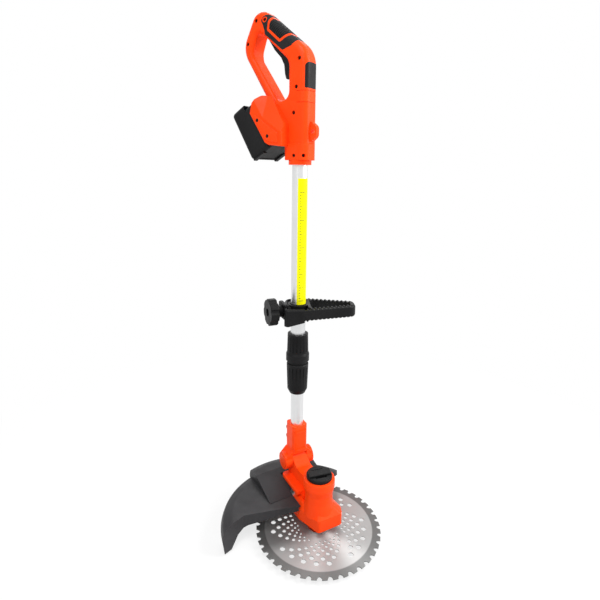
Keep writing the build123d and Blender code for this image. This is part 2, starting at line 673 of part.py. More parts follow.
lid_start = battery_start + LID_SETBACK
lid = slide_box(lid_start, battery_end, battery_split, 0, BATTERY_HALF)
lid = fillet(lid.edges().filter_by(across_axis), BATTERY_ROUND)
groove_half = BATTERY_HALF - RAIL_DEPTH
lid -= (slide_box(battery_start - 1, battery_end + 1, rail_low, rail_high, BATTERY_HALF + 1)
        - slide_box(battery_start - 2, battery_end + 2, rail_low - 1, rail_high + 1, groove_half))
lid -= slide_box(terminal_start - 1, battery_end + 1, terminal_low - 1, 1, TERMINAL_HALF + 0.6)
tab_gap = 0.5
for side in (-1, 1):
    tab_cut = slide_box(tab_start - 1, terminal_start, tab_low - tab_gap, 1, tab_half + tab_gap)
    lid -= Pos(0, side * tab_spread, 0) * tab_cut
button_low = battery_split + BUTTON_TRAVEL + 1
button_high = button_low + BUTTON_TALL
button_end = lid_start + BUTTON_DEEP
lid -= slide_box(lid_start - 1, button_end + SLIDE_CLEAR, battery_split + 0.6,
                 button_high + SLIDE_CLEAR, BUTTON_HALF + SLIDE_CLEAR)
keep("battery_lid", lid, HANDLE)

button = slide_box(lid_start - 0.8, button_end, button_low, button_high, BUTTON_HALF)
for i in range(3):
    rib_level = button_low + BUTTON_TALL * (i + 1) / 4
    button += slide_box(lid_start - 1.8, lid_start, rib_level - 0.6, rib_level + 0.6, BUTTON_HALF - 3)
keep("battery_button", button, HANDLE)

cell_level = battery_low + BATTERY_WALL + CELL_R + CELL_LIFT
cell_pitch = CELL_R * 2 + 0.2
cells = []
for i in range(CELL_COUNT):
    station = (i - (CELL_COUNT - 1) / 2) * cell_pitch
    cells.append(SLIDE * cross_rod(CELL_R, station, cell_level, -CELL_LENGTH / 2, CELL_LENGTH / 2))
keep("battery_cells", joined(cells), HANDLE)

# Front grip on the shaft
aux_half = AUX_BAND / 2
liner_r = TUBE_R + AUX_LINER
liner_bore = label_in + LABEL_THICK + RUN_CLEAR
hub_low = -aux_half - AUX_HUB_DROP
keep("grip_liner", ring(liner_r, liner_bore, hub_low - 1, aux_half + 1), AUX)
aux = top_plate(AUX_OUTER, AUX_OUTER_R, -aux_half, aux_half)
aux = fillet(aux.faces().filter_by(Axis.Z).edges(), AUX_ROUND)
slope_start, slope_end = AUX_HUB_SLOPE
hub_side = Polyline((-60, hub_low), (slope_start, hub_low), (slope_end, -aux_half),
                    (slope_end, 0), (-60, 0), close=True)
hub = top_plate(AUX_OUTER, AUX_OUTER_R, hub_low, 0)
aux += hub & extrude(Plane.XZ * make_face(hub_side), 80, both=True)
aux -= top_plate(AUX_INNER, AUX_INNER_R, -aux_half - 1, aux_half + 1)
pocket_face = offset(rounded_face(AUX_OUTER, AUX_OUTER_R), -AUX_RIM)
pocket = extrude(Pos(0, 0, aux_half - AUX_POCKET) * pocket_face, AUX_POCKET + 1)
pocket &= block((-60, -60, -60), (AUX_POCKET_FRONT, 60, 60))
aux -= pocket - rod(liner_r + AUX_RIM, -aux_half, aux_half)
knob_place = Rot(0, 0, KNOB_TURN) * Rot(0, 90, 0)
pad_seat = liner_r + PAD_THICK
boss_reach = KNOB_AT - KNOB_THICK / 2 - 4
aux += knob_place * rod(11, liner_r, boss_reach)
aux += knob_place * fillet(block(JAW_LOW, JAW_HIGH).edges(), JAW_ROUND)
aux -= rod(liner_r + RUN_CLEAR, hub_low - 1, aux_half + 6)
pad_room = PAD_HALF + SEAT_CLEAR
aux -= knob_place * block((-pad_room, -pad_room, 0), (pad_room, pad_room, pad_seat))
aux -= knob_place * rod(KNOB_SCREW_R + RUN_CLEAR, 0, KNOB_AT)
(arm_x0, arm_y0), (arm_x1, arm_y1) = AUX_OUTER[1], AUX_OUTER[2]
arm_turn = math.degrees(math.atan2(arm_y1 - arm_y0, arm_x1 - arm_x0))
first_notch, last_notch = AUX_NOTCH_SPAN
for i in range(AUX_NOTCHES):
    share = first_notch + (last_notch - first_notch) * i / (AUX_NOTCHES - 1)
    x = arm_x0 + (arm_x1 - arm_x0) * share
    y = arm_y0 + (arm_y1 - arm_y0) * share
    for side in (-1, 1):
        for edge in (-aux_half, aux_half):
            notch = Rot(0, 0, -side * arm_turn) * Rot(90, 0, 0) * Cylinder(AUX_NOTCH_R, AUX_BAND)
            aux -= Pos(x, -side * y, edge) * notch
keep("front_grip", aux, AUX)

pad = knob_place * block((-PAD_HALF, -PAD_HALF, 0), (PAD_HALF, PAD_HALF, pad_seat - SEAT_CLEAR))
pad -= rod(liner_r + RUN_CLEAR, -aux_half, aux_half)
keep("clamp_pad", pad.solids().sort_by(SortBy.VOLUME)[-1], AUX)

screw_tip = pad_seat + RUN_CLEAR
knob_low = KNOB_AT - KNOB_THICK / 2
knob = rod(KNOB_R, knob_low, knob_low + KNOB_THICK)
knob = fillet(knob.edges(), 2)
lobe_gap_r = math.pi * KNOB_R / KNOB_LOBES * 0.55
lobe_gap = Pos(KNOB_R + lobe_gap_r * 0.35, 0, KNOB_AT) * Cylinder(lobe_gap_r, KNOB_THICK + 1)
knob -= joined(around(lobe_gap, KNOB_LOBES))
knob += rod(10, boss_reach + SLIDE_CLEAR, knob_low + 1)
knob -= rod(KNOB_R * 0.3, KNOB_AT + KNOB_THICK / 2 - 5, KNOB_AT + KNOB_THICK)
knob -= rod(KNOB_SCREW_R + SEAT_CLEAR, boss_reach, KNOB_AT)
keep("clamp_knob", knob_place * knob, AUX)
keep("clamp_screw", knob_place * rod(KNOB_SCREW_R, screw_tip, KNOB_AT - SEAT_CLEAR), AUX)

# Socket between the shaft and the hinge, with the two ears of the hinge
SOCKET = SHAFT * HEAD
ear_start = KNUCKLE_HALF + EAR_GAP
yoke_shoulder = HINGE_HEIGHT + YOKE_SHOULDER
yoke_top = HINGE_HEIGHT + YOKE_TOP
square = (
    (-SOCKET_HALF, -SOCKET_HALF), (SOCKET_HALF, -SOCKET_HALF),
    (SOCKET_HALF, SOCKET_HALF), (-SOCKET_HALF, SOCKET_HALF))
yoke_points = (
    (-EAR_HALF, HINGE_HEIGHT), (EAR_HALF, HINGE_HEIGHT), (EAR_HALF, yoke_shoulder),
    (SOCKET_HALF, yoke_top), (-SOCKET_HALF, yoke_top), (-EAR_HALF, yoke_shoulder))
yoke_half = HINGE_R - 2
yoke = extrude(Plane.YZ * rounded_face(yoke_points, (1, 1, 6, 4, 4, 6)), yoke_half, both=True)
socket = yoke + cross_rod(HINGE_R, 0, HINGE_HEIGHT, -EAR_HALF, EAR_HALF)
knuckle_room = HINGE_R + 1
socket -= block((-30, -ear_start, HINGE_HEIGHT - 30), (30, ear_start, HINGE_HEIGHT + knuckle_room))
socket += top_plate(square, (SOCKET_ROUND,) * 4, HINGE_HEIGHT + knuckle_room, SOCKET_TOP)
lip_half = SOCKET_HALF * 0.7
for lip in (SOCKET_TOP - 12, yoke_top + 3):
    socket += block((SOCKET_HALF - 2, -lip_half, lip - 2), (SOCKET_HALF + SOCKET_LIP, lip_half, lip + 2))
lug_x = -SOCKET_HALF
lug_heights = [SOCKET_TOP - drop for drop in LUG_DROPS]
for lug in lug_heights:
    socket += cross_rod(LUG_R, lug_x, lug, -LUG_HALF, LUG_HALF)
socket -= rod(INNER_TUBE_R + SEAT_CLEAR, inner_low, SOCKET_TOP + 1)
socket -= cross_rod(HINGE_PIN_R + SEAT_CLEAR, 0, HINGE_HEIGHT, -EAR_HALF - 1, EAR_HALF - 2 + SEAT_CLEAR)
pin_left = -EAR_HALF + 9
pin_right = EAR_HALF - 2
button_room = pin_left - 0.4
socket -= cross_rod(BUTTON_CAP_R + SLIDE_CLEAR, 0, HINGE_HEIGHT, -EAR_HALF - 1, button_room)
socket_screws = []
for lug in lug_heights:
    head_y = -LUG_HALF + SCREW_HEAD
    socket -= cross_rod(SCREW_HEAD_R + SLIDE_CLEAR, lug_x, lug, -60, head_y)
    socket -= cross_rod(SCREW_R + SEAT_CLEAR, lug_x, lug, -LUG_HALF, LUG_HALF - 2)
    head = screw_head(lug_x, lug, -LUG_HALF, head_y)
    socket_screws.append(head + cross_rod(SCREW_R, lug_x, lug, head_y, LUG_HALF - 3))
keep("socket_screws", joined(socket_screws), SOCKET)
keep("socket_left", (socket & near_half).solids().sort_by(SortBy.VOLUME)[-1], SOCKET)
keep("socket_right", (socket & far_half).solids().sort_by(SortBy.VOLUME)[-1], SOCKET)
keep("hinge_pin", cross_rod(HINGE_PIN_R, 0, HINGE_HEIGHT, pin_left, pin_right), SOCKET)
press_cap = cross_rod(BUTTON_CAP_R, 0, HINGE_HEIGHT, -EAR_HALF - 1, -EAR_HALF + PIVOT_TRAVEL - 0.6)
press_cap = fillet(press_cap.faces().sort_by(Axis.Y)[0].edges(), 1)
keep("pivot_button", press_cap, SOCKET)

# Head housing, base and cap
hinge_x = -SHAFT_BACK
neck_outline = (
    (hinge_x - HINGE_R + 3, HINGE_HEIGHT), (hinge_x + 4, HINGE_HEIGHT + HINGE_R - 2),
    (hinge_x + 30, NECK_TOP), (-15, NECK_TOP), (-15, PLATE_LOW), (hinge_x - 2, PLATE_LOW))
neck = side_plate(neck_outline, (2, 3, 12, 1, 1, 2), KNUCKLE_HALF)
neck += cross_rod(HINGE_R, hinge_x, HINGE_HEIGHT, -KNUCKLE_HALF, KNUCKLE_HALF)
plate_points = (
    (PLATE_BACK, -PLATE_HALF), (PLATE_FRONT, -PLATE_HALF),
    (PLATE_FRONT, PLATE_HALF), (PLATE_BACK, PLATE_HALF))
plate = top_plate(plate_points, (8, 2, 2, 8), PLATE_LOW, PLATE_HIGH)
plate = fillet(plate.faces().sort_by(Axis.Z)[-1].edges(), 2)
rim_low = TOWER_TOP - TOWER_RIM
tower = turned((
    (0, BASE_HIGH), (WAIST_R + 4, BASE_HIGH), (WAIST_R, WAIST_LOW), (WAIST_R, WAIST_HIGH),
    (TOWER_R, rim_low), (TOWER_R, TOWER_TOP), (0, TOWER_TOP)))
tower = fillet(tower.faces().sort_by(Axis.Z)[-1].edges(), 3)
lip_high = BASE_HIGH + NOSE_LIP
nose_foot = Pos(0, 0, lip_high) * rounded_face(BASE_OUTLINE, BASE_OUTLINE_R)
nose_head = Pos(0, 0, lip_high + NOSE_RISE) * rounded_face(NOSE_OUTLINE, NOSE_OUTLINE_R)
nose = top_plate(BASE_OUTLINE, BASE_OUTLINE_R, BASE_HIGH, lip_high) + loft([nose_foot, nose_head])
web = block((WEB_BACK, -WEB_HALF, lip_high), (WEB_FRONT, WEB_HALF, PLATE_LOW + 1))
housing = neck + plate + tower + nose + web
housing -= cross_rod(HINGE_PIN_R + RUN_CLEAR, hinge_x, HINGE_HEIGHT, -EAR_HALF, EAR_HALF)
motor_wall = WAIST_R - TOWER_WALL
motor_floor = MOTOR_LOW
ceiling = TOWER_TOP - 4
motor_room = rod(motor_wall, motor_floor, ceiling)
rib = block((MOTOR_R + SEAT_CLEAR * 2, -1.2, motor_floor), (motor_wall + 0.5, 1.2, MOTOR_HIGH - 6))
housing -= motor_room - joined(around(rib, 6))
cap_bore = CAP_R - CAP_RIM
housing -= rod(cap_bore, ceiling - 1, TOWER_TOP + 1)
sun_r = GEAR_MODULE * SUN_TEETH / 2
planet_r = GEAR_MODULE * PLANET_TEETH / 2
ring_teeth = SUN_TEETH + 2 * PLANET_TEETH
ring_r = GEAR_MODULE * ring_teeth / 2
housing -= rod(sun_r + 3, BASE_HIGH - 1, motor_floor + 1)
screw_top = BASE_HIGH + HEAD_SCREW_RISE
for x, y in HEAD_SCREW_SPOTS:
    housing -= Pos(x, y, 0) * rod(SCREW_R + SEAT_CLEAR, BASE_HIGH - 1, screw_top)
guard_screw_top = PLATE_HIGH - 1
for x, y in GUARD_SCREW_SPOTS:
    housing -= Pos(x, y, 0) * rod(SCREW_R + SEAT_CLEAR, PLATE_LOW - 1, guard_screw_top)
keep("head_housing", housing.solids().sort_by(SortBy.VOLUME)[-1], HEAD)

bearing_low = BASE_LOW + BASE_WALL + 0.5
bearing_high = bearing_low + BEARING_HEIGHT
carrier_low = bearing_high + 0.7
carrier_high = carrier_low + CARRIER_THICK
ring_out = ring_r + RING_WALL
boss_low = BASE_LOW - BOSS_DROP
base = top_plate(BASE_OUTLINE, BASE_OUTLINE_R, BASE_LOW, BASE_HIGH)
base = fillet(base.faces().sort_by(Axis.Z)[0].edges(), 2)
base += rod(BEARING_R + BOSS_WALL, boss_low, BASE_LOW + 1)
base -= rod(ring_out + SEAT_CLEAR, GEAR_LOW, BASE_HIGH + 1)
base -= rod(CARRIER_R + 1, bearing_high, GEAR_LOW + 1)
base -= rod(BEARING_R + SEAT_CLEAR, boss_low + 1.5, bearing_high + 1)
base -= rod(BEARING_R - 3, boss_low - 1, boss_low + 2)
head_screws = []
head_seat = BASE_LOW + 6
for x, y in HEAD_SCREW_SPOTS:
    base -= Pos(x, y, 0) * rod(SCREW_HEAD_R + SLIDE_CLEAR, BASE_LOW - 1, head_seat)
    base -= Pos(x, y, 0) * rod(SCREW_R + SEAT_CLEAR, BASE_LOW, BASE_HIGH + 1)
    screw = rod(SCREW_HEAD_R, head_seat - SCREW_HEAD, head_seat) + rod(SCREW_R, head_seat, screw_top - 1)
    head_screws.append(Pos(x, y, 0) * screw)
keep("gear_base", base, HEAD)
keep("head_screws", joined(head_screws), HEAD)

cap = rod(CAP_R, TOWER_TOP, CAP_TOP - 3)
cap = fillet(cap.faces().sort_by(Axis.Z)[-1].edges(), 2)
bar_long = CAP_R - 2
bar = block((-bar_long, -CAP_BAR_HALF, TOWER_TOP), (bar_long, CAP_BAR_HALF, CAP_TOP))
bar = fillet(bar.faces().sort_by(Axis.Z)[-1].edges(), 1.2)
cap += bar & rod(CAP_R - 0.6, TOWER_TOP, CAP_TOP)
for side in (-1, 1):
    slot_y = side * (CAP_BAR_HALF + CAP_SLOT / 2)
    vent = block((-CAP_SLOT_HALF, -CAP_SLOT / 2, TOWER_TOP - 1), (CAP_SLOT_HALF, CAP_SLOT / 2, CAP_TOP))
    cap -= Pos(0, slot_y, 0) * vent
cap += rod(cap_bore - SEAT_CLEAR, ceiling, TOWER_TOP)
cap -= rod(cap_bore - 3, ceiling - 1, TOWER_TOP + 1)
keep("vent_cap", Rot(0, 0, CAP_TURN) * cap, HEAD)

# Motor and planetary drive
def gear_points(teeth, tip, root, phase):
    """Outline of straight-sided teeth, the first one centred at the phase angle."""
    half = TOOTH_SHARE * 180 / teeth
    points = []
    for i in range(teeth):
        middle = phase + 360 * i / teeth
        points += [polar(root, middle - half * 1.45), polar(tip, middle - half * 0.7)]
        points += [polar(tip, middle + half * 0.7), polar(root, middle + half * 1.45)]
    return points


def gear_blank(teeth, tip, root, phase, low, high):
    """Toothed solid between two heights."""
    outline = make_face(Polyline(*gear_points(teeth, tip, root, phase), close=True))
    return extrude(Pos(0, 0, low) * outline, high - low)


tip_step = TOOTH_TIP * GEAR_MODULE
root_step = TOOTH_ROOT * GEAR_MODULE
can = ring(MOTOR_R, MOTOR_R - MOTOR_WALL, MOTOR_LOW, MOTOR_HIGH)
for low in (MOTOR_LOW, MOTOR_HIGH - 2):
    can += ring(MOTOR_R, MOTOR_SHAFT_R + RUN_CLEAR, low, low + 2)
keep("motor_can", can, HEAD)
magnet_in = ROTOR_R + 0.8
magnet_low = MOTOR_LOW + 6
magnet_high = MOTOR_HIGH - 8
magnet = ring(MOTOR_R - MOTOR_WALL - SEAT_CLEAR, magnet_in, magnet_low, magnet_high)
magnet_gap = block((-MOTOR_R, -4, magnet_low), (MOTOR_R, 4, magnet_high))
keep("motor_magnets", magnet - magnet_gap, HEAD)
rotor = rod(MOTOR_SHAFT_R, GEAR_LOW, MOTOR_HIGH + 1)
core = rod(ROTOR_R, magnet_low, magnet_high)
core -= joined(around(Pos(ROTOR_R, 0, (magnet_low + magnet_high) / 2) * Box(8, 2.4, MOTOR_HIGH), 9))
keep("motor_rotor", rotor + core, HEAD)
sun = gear_blank(SUN_TEETH, sun_r + tip_step, sun_r - root_step, 0, GEAR_LOW, GEAR_HIGH)
keep("sun_pinion", sun - rod(MOTOR_SHAFT_R + SEAT_CLEAR / 2, GEAR_LOW - 1, GEAR_HIGH + 1), HEAD)
ring_hole = gear_blank(ring_teeth, ring_r - tip_step, ring_r + root_step, 0, GEAR_LOW - 1, GEAR_HIGH + 1)
keep("ring_gear", rod(ring_out, GEAR_LOW, GEAR_HIGH) - ring_hole, HEAD)
orbit = sun_r + planet_r
planet_phase = 180 + 180 / PLANET_TEETH
planet_tip = planet_r + tip_step
planet_root = planet_r - root_step
planet = gear_blank(PLANET_TEETH, planet_tip, planet_root, planet_phase, GEAR_LOW, GEAR_HIGH)
planet -= rod(PLANET_PIN_R + RUN_CLEAR, GEAR_LOW - 1, GEAR_HIGH + 1)
for i in range(PLANETS):
    keep(f"planet_gear_{i + 1}", Rot(0, 0, 360 * i / PLANETS) * Pos(orbit, 0, 0) * planet, HEAD)

nut_seat = BLADE_LOW - CUP_WALL
spindle_low = 2.5
spindle = rod(SPINDLE_R, spindle_low, carrier_low + 1) + rod(CARRIER_R, carrier_low, carrier_high)
planet_pin = Pos(orbit, 0, 0) * rod(PLANET_PIN_R, carrier_high - 1, GEAR_HIGH)
spindle += joined(around(planet_pin, PLANETS))
keep("output_spindle", spindle, HEAD)
lower_bearing_low = boss_low + 1.5
lower_bearing_high = lower_bearing_low + BEARING_HEIGHT
for name, low in (("lower_bearing", lower_bearing_low), ("upper_bearing", bearing_low)):
    race = ring(BEARING_R, SPINDLE_R + RUN_CLEAR, low, low + BEARING_HEIGHT)
    seal = ring(BEARING_R - 2.5, SPINDLE_R + 2.5, low - 1, low + 0.6)
    keep(name, race - seal - Pos(0, 0, BEARING_HEIGHT + 0.4) * seal, HEAD)

# Blade and what clamps it
def blade_points():
    """Outline of the teeth: a flat top, then a round gullet, one after another."""
    pitch = 360 / TEETH
    points = []
    for i in range(TEETH):
        start = i * pitch
        points += [polar(BLADE_R, start), polar(BLADE_R - 0.6, start + pitch * TOOTH_TOP)]
        for share in (0.12, 0.3, 0.5, 0.72, 0.9):
            drop = GULLET_DEPTH * math.sin(math.pi * share) ** 0.6
            points.append(polar(BLADE_R - drop, start + pitch * (TOOTH_TOP + (1.04 - TOOTH_TOP) * share)))
    return points


blade_high = BLADE_LOW + BLADE_THICK
blade = extrude(Pos(0, 0, BLADE_LOW) * make_face(Polyline(*blade_points(), close=True)), BLADE_THICK)
blade -= rod(BLADE_BORE_R, BLADE_LOW - 1, blade_high + 1)
holes = []
for group in range(HOLE_GROUPS):
    for row in range(HOLE_ROWS):
        row_turn = HOLE_PHASE + 360 * group / HOLE_GROUPS + row * HOLE_ROW_STEP
        for i in range(HOLES_IN_ROW):
            share = i / (HOLES_IN_ROW - 1)
            x, y = polar(HOLE_START * (HOLE_END / HOLE_START) ** share, row_turn + i * HOLE_SWEEP)
            hole_r = HOLE_R_FIRST * (HOLE_R_LAST / HOLE_R_FIRST) ** share
            holes.append(Pos(x, y, BLADE_LOW) * Cylinder(hole_r, BLADE_THICK * 4))
blade -= holes
keep("blade", blade, HEAD)

flange_high = blade_high + FLANGE_THICK
upper_flange = rod(FLANGE_R, blade_high, flange_high)
upper_flange += rod(BLADE_BORE_R - RUN_CLEAR, BLADE_LOW + 0.2, blade_high)
upper_flange += rod(BEARING_R - 4, flange_high, lower_bearing_low - 0.4)
upper_flange -= rod(SPINDLE_R + SEAT_CLEAR / 2, 0, lower_bearing_low)
keep("upper_flange", upper_flange, HEAD)
cup = rod(CUP_R, nut_seat, BLADE_LOW) + ring(CUP_R, CUP_R - CUP_WALL, 1.5, nut_seat)
cup -= rod(SPINDLE_R + SEAT_CLEAR, 0, BLADE_LOW + 1)
keep("lower_cup", cup, HEAD)
nut_body = extrude(RegularPolygon(NUT_R, 6), nut_seat)
nut_body = nut_body - rod(SPINDLE_R + SEAT_CLEAR / 2, spindle_low - 0.5, nut_seat + 1)
keep("blade_nut", nut_body, HEAD)

# Guard
guard_x, guard_y = GUARD_CENTRE


def guard_dome(shrink, lift):
    """Solid under the guard's skin, turned about the guard's own centre."""
    points = [(0, 0)]
    for radius, height in GUARD_PROFILE:
        points.append((max(radius - shrink, 0), height - shrink + lift))
    points.append((GUARD_PROFILE[-1][0] - shrink, 0))
    radii = (0, 0) + GUARD_PROFILE_R + (0, 0)
    face = Plane.XZ * rounded_face(points, radii)
    return Pos(guard_x, guard_y, 0) * revolve(face, Axis.Z)


def raised_band(inset):
    """Wedge under which the guard swells upwards to the back."""
    foot = GUARD_PROFILE[0][1] - 1 - inset
    rise = (HUMP_START + 300) * HUMP_SLOPE
    wedge = Polyline((HUMP_START, 0), (HUMP_START, foot), (-300, foot + rise), (-300, 0), close=True)
    low, high = RAISE_LOW + inset, RAISE_HIGH - inset
    return Pos(0, high, 0) * extrude(Plane.XZ * make_face(wedge), high - low)


def guard_body(inset):
    """Solid under the guard's skin with its swelling, kept clear below the head's plate."""
    swelling = guard_dome(inset, RAISE_STEP) & raised_band(inset)
    margin = PLATE_ROOM + inset
    room = block((PLATE_BACK - margin, -PLATE_HALF - margin, PLATE_LOW - SEAT_CLEAR - inset),
                 (0, PLATE_HALF + margin, 200))
    return guard_dome(inset, 0) + swelling - room


guard = guard_body(0) - guard_body(GUARD_WALL)
guard &= extrude(make_face(Polyline(*GUARD_PLAN, close=True)), 120)
front_strip = GUARD_FRONT + tuple((x - GUARD_WALL, y) for x, y in reversed(GUARD_FRONT))
front_wall = guard_dome(0, 0) & extrude(make_face(Polyline(*front_strip, close=True)), 120)
front_low = Polyline(*GUARD_FRONT_LOW, (-230, -20), (0, -20), close=True)
guard += front_wall - extrude(Plane.YZ * make_face(front_low), 300, both=True)
skirt_cut = Polyline(*GUARD_SKIRT, (60, -20), (-200, -20), close=True)
guard -= extrude(Plane.XZ * make_face(skirt_cut), 300)
guard -= block((-300, -20, -1), (100, 300, GUARD_FAR_LOW))
guard = guard.solids().sort_by(SortBy.VOLUME)[-1]
guard_screws = []
guard_screw_low = PLATE_LOW - 9
for x, y in GUARD_SCREW_SPOTS:
    guard -= Pos(x, y, 0) * rod(SCREW_R + SLIDE_CLEAR, 40, 90)
    screw = rod(SCREW_HEAD_R, guard_screw_low, guard_screw_low + SCREW_HEAD)
    screw += rod(SCREW_R, guard_screw_low, guard_screw_top - 1)
    guard_screws.append(Pos(x, y, 0) * screw)
keep("guard", guard, HEAD)
keep("guard_screws", joined(guard_screws), HEAD)

# Write each piece
os.makedirs("parts", exist_ok=True)
for name, solid in pieces.items():
    export_step(solid, f"parts/{name}.step")
    print(name, round(solid.volume, 1))
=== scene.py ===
import math

import bmesh
import bpy
from mathutils import Matrix, Vector


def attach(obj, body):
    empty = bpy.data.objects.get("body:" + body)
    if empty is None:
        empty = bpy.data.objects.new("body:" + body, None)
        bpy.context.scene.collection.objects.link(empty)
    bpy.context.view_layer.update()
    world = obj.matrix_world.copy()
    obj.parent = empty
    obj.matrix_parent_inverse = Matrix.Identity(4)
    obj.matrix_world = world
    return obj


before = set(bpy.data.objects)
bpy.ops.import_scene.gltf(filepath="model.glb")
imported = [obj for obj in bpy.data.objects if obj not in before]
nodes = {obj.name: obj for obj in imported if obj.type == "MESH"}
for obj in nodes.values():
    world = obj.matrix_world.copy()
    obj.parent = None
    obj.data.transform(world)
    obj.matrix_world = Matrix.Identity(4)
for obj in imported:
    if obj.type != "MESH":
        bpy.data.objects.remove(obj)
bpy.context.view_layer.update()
scene = bpy.context.scene
scene.view_settings.view_transform = "Standard"

MM = 0.001

# The shaft's axis, counted from the blade's axis
SHAFT_AWAY = 90 * MM
SHAFT_TURN = math.radians(27)
SHAFT = Vector((-math.cos(SHAFT_TURN), math.sin(SHAFT_TURN), 0)) * SHAFT_AWAY

# Camera at the photograph's place: distance from the shaft, height, turn, pitch and roll
VIEW_AWAY = 0.831
VIEW_HEIGHT = 0.664
VIEW_TURN = math.radians(35)
VIEW_PITCH = math.radians(9.48)
VIEW_ROLL = math.radians(0.72)
VIEW_NEAREST = 0.01
SENSOR_WIDTH = 36
PHOTO_PIXELS = 600
FOCAL_PIXELS = 455.4
SHIFT_PIXELS_X = 1
SHIFT_PIXELS_Y = -54

# Depth of the fine relief: plastic grain, rubber cells, metal lines and the blade's rings
GRAIN_DEEP = 0.4 * MM
CELL_DEEP = 0.3 * MM
LINE_DEEP = 0.3 * MM
RING_DEEP = 0.2 * MM

# Rubbed edges: how pointed they are where wear starts and where it is full, and how much paler they get
EDGE_START = 0.52
EDGE_FULL = 0.60
RUBBED_GAIN = 1.3
RUBBED_LIFT = 0.012

# Blade: where its ground face ends, where its duller band begins, and how fine its rings are
GROUND_R = 98.5 * MM
BAND_R = 100.5 * MM
RING_SCALE = 1800.0

# Printed scale on the label: ticks and numbers, wrapped on the shaft
LABEL_R = 14.25 * MM
PRINT_CLEAR = 0.005 * MM
PRINT_THICK = 0.02 * MM
PRINT_MERGE = 0.01 * MM
SCALE_LOW = 424 * MM
SCALE_STEP = 5 * MM
SCALE_TICKS = 41
TICKS_PER_NUMBER = 5
TICKS_PER_LONG = 10
TICK_START = math.radians(-52)
TICK_TALL = 1.0 * MM
TICK_SHORT = 2.6 * MM
TICK_MIDDLE = 4.0 * MM
TICK_LONG = 5.5 * MM
BEND_STEP = 0.8 * MM
NUMBER_TURN = math.radians(-22)
NUMBER_SIZE = 4.6 * MM
NUMBER_CURVE_STEPS = 3

# Floor: half its width, its height, how white it looks near the object, and where it fades to white
FLOOR_HALF = 6.0
FLOOR_TOP = -0.5 * MM
FLOOR_WHITE = 0.75
FADE_FROM = 0.3
FADE_TO = 0.9

# Background: its strength as a light, and where it is seen
WORLD_LIGHT = 0.5
WORLD_SEEN = 1.0

# Soft lamps: name, place, aim, width and height, and power
AIM_MIDDLE = (-0.05, 0.02, 0.5)
AIM_LOW = (0, 0, 0.2)
LAMPS = (
    ("key", (0.2, -1.9, 2.0), AIM_MIDDLE, (1.4, 1.4), 20),
    ("top", (0.4, -0.64, 2.3), AIM_LOW, (0.5, 0.5), 14),
    ("side", (1.55, 0.95, 1.5), AIM_MIDDLE, (1.2, 1.6), 48),
    ("back", (-1.3, 1.4, 1.9), AIM_MIDDLE, (1.2, 1.2), 10),
)

# Sockets of the Mix node in its colour mode
MIX_FIRST = 6
MIX_SECOND = 7
MIX_RESULT = 2


def place_camera():
    """Camera that looks slightly down at the object, as the photograph does."""
    level = Vector((-math.sin(VIEW_TURN), math.cos(VIEW_TURN), 0))
    right = Vector((math.cos(VIEW_TURN), math.sin(VIEW_TURN), 0))
    forward = level * math.cos(VIEW_PITCH) - Vector((0, 0, 1)) * math.sin(VIEW_PITCH)
    up = right.cross(forward)
    rolled_right = right * math.cos(VIEW_ROLL) + up * math.sin(VIEW_ROLL)
    rolled_up = up * math.cos(VIEW_ROLL) - right * math.sin(VIEW_ROLL)
    spot = Vector((SHAFT.x, SHAFT.y, VIEW_HEIGHT)) - level * VIEW_AWAY

    optics = bpy.data.cameras.new("camera")
    optics.sensor_width = SENSOR_WIDTH
    optics.lens = SENSOR_WIDTH * FOCAL_PIXELS / PHOTO_PIXELS
    optics.shift_x = SHIFT_PIXELS_X / PHOTO_PIXELS
    optics.shift_y = SHIFT_PIXELS_Y / PHOTO_PIXELS
    optics.clip_start = VIEW_NEAREST
    camera = bpy.data.objects.new("camera", optics)
    camera.matrix_world = Matrix((
        (rolled_right.x, rolled_up.x, -forward.x, spot.x),
        (rolled_right.y, rolled_up.y, -forward.y, spot.y),
        (rolled_right.z, rolled_up.z, -forward.z, spot.z),
        (0, 0, 0, 1)))
    scene.collection.objects.link(camera)
    scene.camera = camera


